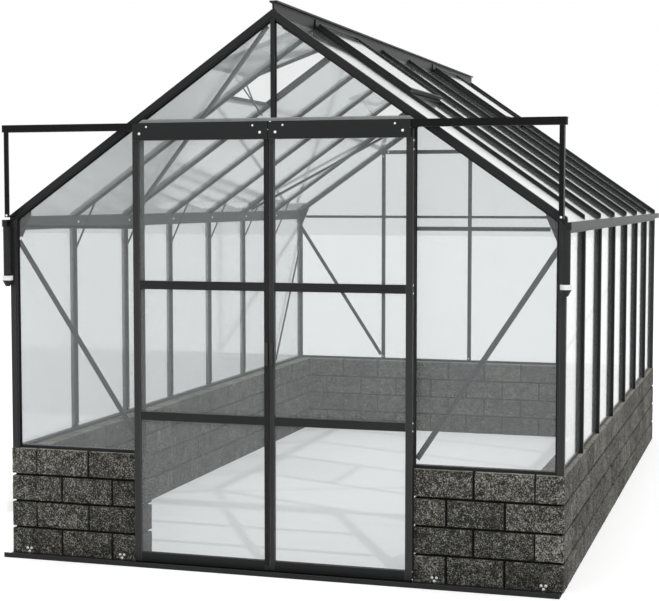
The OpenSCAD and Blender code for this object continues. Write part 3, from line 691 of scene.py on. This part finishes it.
# %% Rounded strips
def add_prism(low_ring, high_ring, verts, faces):
    start = len(verts)
    count = len(low_ring)
    if geometry.normal(low_ring).dot(Vector(high_ring[0]) - Vector(low_ring[0])) < 0:
        low_ring, high_ring = low_ring[::-1], high_ring[::-1]
    verts += [Vector(p) for p in low_ring] + [Vector(p) for p in high_ring]
    for i in range(count):
        j = (i + 1) % count
        faces.append([start + i, start + j, start + count + j, start + count + i])
    faces.append([start + i for i in reversed(range(count))])
    faces.append([start + count + i for i in range(count)])


def rounded_piece(name, verts, faces, material, body, radius):
    piece = new_piece(name, verts, faces, [material], body)
    rounding = piece.modifiers.new("rounded", "BEVEL")
    rounding.width = radius
    rounding.segments = 2


# %% Gaskets
GABLE_POINT = 2.5
GABLE_EAVE = 1.593
GASKET_W = 8*MM
GASKET_T = 3*MM
GASKET_LIP = 1*MM
half_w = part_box("corner_posts")[1].x
inner = half_w + bar_in - bar_high.x
profile_d = half_w - inner
roof_tan = (GABLE_POINT - GABLE_EAVE)/half_w
roof_cos = 1/math.hypot(1, roof_tan)
rubber = moulded("black_glazing_rubber", "#111111", "#1a1a1a", 0.7)


def roof_line(x, depth):
    return GABLE_POINT - x*roof_tan - depth/roof_cos


gable_faces = (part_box("front_gable_glass")[0].y - GASKET_T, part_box("rear_gable_glass")[1].y)
lip = profile_d + GASKET_W
post_in = inner - GASKET_W
post_top = roof_line(inner, profile_d)
post_strip = [(post_in, sill_top), (inner, sill_top), (inner, post_top), (post_in, post_top)]
roof_strip = [(0, roof_line(0, lip)), (inner, roof_line(inner, lip)), (inner, post_top),
    (0, roof_line(0, profile_d))]
verts, faces = [], []
for y in gable_faces:
    for side in (-1, 1):
        for strip in (post_strip, roof_strip):
            rings = [[(side*x, y + depth, z) for x, z in strip] for depth in (0, GASKET_T)]
            add_prism(*rings, verts, faces)
rounded_piece("gable_gaskets", verts, faces, rubber, "house", GASKET_LIP)
print("gaskets beside profiles", round(profile_d/MM), "mm deep")

# %% [markdown]
# Over the doors the pale edge of an aluminium bead shows above the header. It is snapped on the lintel
# and holds the lower edge of the two top panes; its ends are cut to the slope of the gable rafters.
# Anodising leaves the metal bare and softly grey.

# %% Glazing bead
BEAD_OVER = 4*MM
BEAD_UNDER = 14*MM
BEAD_T = 4*MM
BEAD_EDGE = 0.8*MM
anodised = moulded("natural_anodised_aluminium", "#8d8f8e", "#818382", 0.4, 1.0)
bead_profile = [(0, -BEAD_UNDER), (-BEAD_T, -BEAD_UNDER), (-BEAD_T, 0), (-BEAD_T/2, BEAD_OVER),
    (0, BEAD_OVER)]
bead_points = [(lintel_low.y + dy, lintel_high.z + dz) for dy, dz in bead_profile]


def rafter_edge(z):
    return (GABLE_POINT - z - profile_d/roof_cos)/roof_tan


verts, faces = [], []
rings = [[(side*rafter_edge(z), y, z) for y, z in bead_points] for side in (-1, 1)]
add_prism(*rings, verts, faces)
rounded_piece("transom_bead", verts, faces, anodised, "house", BEAD_EDGE)
print("bead", round(2*rafter_edge(lintel_high.z)/MM), "mm long")

# %% [markdown]
# ## Hinge clips
# The vents hang in the crest by their upper edge. At the corner next to the doors a small black clip
# on the crest's side keeps each vent from sliding along. It is a hook: a tongue on the crest's web and
# a broader foot that turns out under the vent's edge.

# %% Clips
VENT_BAYS = (0, 4)
VENT_HALF = 12*MM
CLIP_HALF = 6*MM
CLIP_EDGE = 1.2*MM
CLIP_TOP = 16*MM
CLIP_FOOT = 60*MM
WEB = 5*MM
TONGUE_T = 6*MM
FOOT_REACH = 18*MM
FOOT_T = 9*MM
crest_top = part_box("ridge_beam")[1].z
low_z, foot_z, top_z = crest_top - CLIP_FOOT, crest_top - CLIP_FOOT + FOOT_T, crest_top - CLIP_TOP
clip_outline = [(WEB, low_z), (WEB + FOOT_REACH, low_z), (WEB + FOOT_REACH, foot_z),
    (WEB + TONGUE_T, foot_z), (WEB + TONGUE_T, top_z), (WEB, top_z)]
verts, faces = [], []
for side in (-1, 1):
    for bay in VENT_BAYS:
        y = bar_ys[bay] - VENT_HALF
        rings = [[(side*x, y + half, z) for x, z in clip_outline] for half in (-CLIP_HALF, CLIP_HALF)]
        add_prism(*rings, verts, faces)
rounded_piece("vent_clips", verts, faces, black_plastic, "house", CLIP_EDGE)
print("clips under", round(crest_top, 3))

# %% [markdown]
# ## Vent stays
# Each open vent also has a long flat arm, hinged at the middle of its lower edge. It reaches down past
# the sill into the house, so that it can be pulled from below and set on a peg. It is a strip with a
# hinge pin at its head, and its thin side faces along the slope.

# %% Stay arms
ARM_HEAD = (-0.527, 2.299)
ARM_TAIL = (-0.375, 2.089)
ARM_W = 12*MM
ARM_T = 5*MM
ARM_EDGE = 1*MM
PIN = 5*MM
reach = Vector((ARM_TAIL[0] - ARM_HEAD[0], 0, ARM_TAIL[1] - ARM_HEAD[1]))
across = Vector((reach.z, 0, -reach.x)).normalized()*ARM_T/2
width = Vector((0, ARM_W, 0))
verts, faces = [], []
for bay in VENT_BAYS:
    y = (bar_ys[bay] + bar_ys[bay + 1])/2
    head = Vector((ARM_HEAD[0], y - ARM_W/2, ARM_HEAD[1]))
    ring = [head - across, head + across, head + across + width, head - across + width]
    add_prism(ring, [corner + reach for corner in ring], verts, faces)
    add_head(head, (0, -1, 0), PIN, verts, faces)
rounded_piece("vent_stay_arms", verts, faces, black_plastic, "house", ARM_EDGE)
print("arms", round(reach.length/MM), "mm long")

# %% [markdown]
# ## Brush seals
# Behind the outer stile of each door a black brush strip closes the gap to the wall, as sliding doors
# of this kind have. Without it a bright slit would show between the door and the blocks. A backing
# strip is fixed to the stile, and its tufts of bristle stand close together and thin out to the wall.

# %% Seals
SEAL_W = 12*MM
SEAL_FOOT = 30*MM
SEAL_LAP = 1*MM
SEAL_CLEAR = 2*MM
BACKING_T = 4*MM
TUFT_PITCH = 7*MM
TUFT_TIP = 0.85
bristle = moulded("black_brush_seal", "#0e0e0e", "#171717", 0.85)
for side, word in SIDES:
    low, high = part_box(f"{word}_door_stiles")
    a, b = (low.x, low.x + SEAL_W) if side < 0 else (high.x - SEAL_W, high.x)
    middle = (a + b)/2
    back_y = high.y - SEAL_LAP
    root_y = back_y + BACKING_T
    tip_y = front_y - SEAL_CLEAR
    verts, faces = [], []
    backing = ((a, back_y), (b, back_y), (b, root_y), (a, root_y))
    rings = [[(x, y, z) for x, y in backing] for z in (SEAL_FOOT, high.z)]
    add_prism(*rings, verts, faces)
    tufts = int((high.z - SEAL_FOOT)/TUFT_PITCH)
    for i in range(tufts):
        z = SEAL_FOOT + (i + 0.5)*TUFT_PITCH
        rings = []
        for y, share in ((root_y, 1.0), (tip_y, TUFT_TIP)):
            w, h = share*SEAL_W/2, share*TUFT_PITCH/2
            corners = ((-w, -h), (-w, h), (w, h), (w, -h))
            rings.append([(middle + dx, y, z + dz) for dx, dz in corners])
        add_prism(*rings, verts, faces)
    new_piece(f"{word}_door_seal", verts, faces, [bristle], f"{word}_door")
    print(word, "seal tufts:", tufts)

# %% [markdown]
# ## Meeting strip and pulls
# Where the doors meet, a flat black rubber strip runs down the left door's stile and closes the seam.
# At hand height the two middle stiles carry a flat charcoal pull each, screwed on from behind. They
# meet at the seam and read as one plate. The outer edge of each is hollowed for the fingers.

# %% Meeting strip
STRIP_W = 21*MM
STRIP_T = 2*MM
STRIP_FOOT = 40*MM
STRIP_DOWN = 70*MM
STRIP_EDGE = 0.8*MM
low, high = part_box("left_door_stiles")
strip_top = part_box("left_door_rails")[1].z - STRIP_DOWN
strip_x = high.x - STRIP_W
strip_y = low.y - STRIP_T
outline = [(strip_x, low.y), (strip_x, strip_y), (high.x, strip_y), (high.x, low.y)]
verts, faces = [], []
rings = [[(x, y, z) for x, y in outline] for z in (STRIP_FOOT, strip_top)]
add_prism(*rings, verts, faces)
rounded_piece("left_door_meeting_strip", verts, faces, rubber, "left_door", STRIP_EDGE)
print("meeting strip", round(STRIP_W/MM), "mm wide")

# %% Pulls
PULL_Z = (0.934, 1.036)
PULL_W = 17*MM
PULL_T = 10*MM
PULL_LIP = 3*MM
PULL_LAP = 1*MM
PULL_EDGE = 1.5*MM
HOLLOW = 4*MM
HOLLOW_RUN = 2*MM
charcoal = moulded("moulded_charcoal_plastic", "#2c2c29", "#343431", 0.5)
for side, word in SIDES:
    low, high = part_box(f"{word}_door_stiles")
    seam = low.x if side > 0 else -high.x
    x0, x1 = seam + PULL_LAP, seam + PULL_W
    y0, y1 = low.y - PULL_T, low.y + PULL_LAP
    lip_y = y0 + PULL_LIP
    hollow_x = x1 - HOLLOW
    outline = [(x0, y0), (x1, y0), (x1, lip_y), (hollow_x, lip_y + HOLLOW_RUN), (hollow_x, y1), (x0, y1)]
    verts, faces = [], []
    rings = [[(side*x, y, z) for x, y in outline] for z in PULL_Z]
    add_prism(*rings, verts, faces)
    rounded_piece(f"{word}_door_pull", verts, faces, charcoal, f"{word}_door", PULL_EDGE)
print("pulls at", PULL_Z)

# %% [markdown]
# ## Light
# A product picture like this is lit evenly all round, with one light from above the camera's right
# that draws faint shadows of the bars on the ground. The shadow of the gable's point lies 0.94 m to
# the left and 1.72 m inside the doors, which gives the light's direction. The world gives the even
# part; together they light a surface at about the strength of its own colour. The camera sees the
# world as white, and so do mirror rays, so the coat picks up pale edges.

# %% World
WORLD_LIGHT = 0.72


def seen_rays(tree):
    rays = add_node(tree, "LightPath").outputs
    mirrored = add_node(tree, "Math", {0: rays["Is Glossy Ray"], 1: rays["Is Transmission Ray"]},
        operation="MAXIMUM").outputs[0]
    return add_node(tree, "Math", {0: rays["Is Camera Ray"], 1: mirrored}, operation="MAXIMUM").outputs[0]


scene.view_settings.view_transform = "Standard"
world = bpy.data.worlds.new("studio")
scene.world = world
world.use_nodes = True
sky = world.node_tree
strength = add_node(sky, "MapRange", {"Value": seen_rays(sky), "To Min": WORLD_LIGHT, "To Max": 1.0})
set_inputs(sky, sky.nodes["Background"], {"Color": WHITE, "Strength": strength.outputs["Result"]})
print("even light", WORLD_LIGHT)

# %% Sun
SUN_LIGHT = 1.1
SUN_BREADTH = 1.2
POINT_SHADOW = Vector((-0.944, 1.722, -GABLE_POINT))
sun_data = bpy.data.lights.new("broad_sun", "SUN")
sun_data.energy = SUN_LIGHT
sun_data.angle = math.radians(SUN_BREADTH)
sun = bpy.data.objects.new("broad_sun", sun_data)
scene.collection.objects.link(sun)
sun.rotation_euler = POINT_SHADOW.to_track_quat("-Z", "Y").to_euler()
print("sun", round(math.degrees(math.asin(GABLE_POINT/POINT_SHADOW.length))), "degrees high")

# %% [markdown]
# ## Floor
# The house stands on a wide pale floor that keeps its shadow. A faint glow, which only the camera and
# mirror rays see, lifts the floor to the white of the backdrop without throwing light on the house.

# %% Floor
FLOOR_HALF = 60
FLOOR_DROP = 0.5*MM
FLOOR_GLOW = 0.3
floor_mesh = bpy.data.meshes.new("floor")
corners = [(-FLOOR_HALF, -FLOOR_HALF, 0), (FLOOR_HALF, -FLOOR_HALF, 0), (FLOOR_HALF, FLOOR_HALF, 0),
    (-FLOOR_HALF, FLOOR_HALF, 0)]
floor_mesh.from_pydata(corners, [], [(0, 1, 2, 3)])
floor = bpy.data.objects.new("floor", floor_mesh)
scene.collection.objects.link(floor)
floor.location.z = -FLOOR_DROP
pale_floor, tree, shader = new_material("pale_studio_floor")[:3]
glow = add_node(tree, "Math", {0: seen_rays(tree), 1: FLOOR_GLOW}, operation="MULTIPLY")
set_inputs(tree, shader, {"Base Color": linear("#f4f4f4"), "Roughness": 0.9, "Emission Color": WHITE,
    "Emission Strength": glow.outputs[0]})
floor_mesh.materials.append(pale_floor)
print("floor", 2*FLOOR_HALF, "m wide")
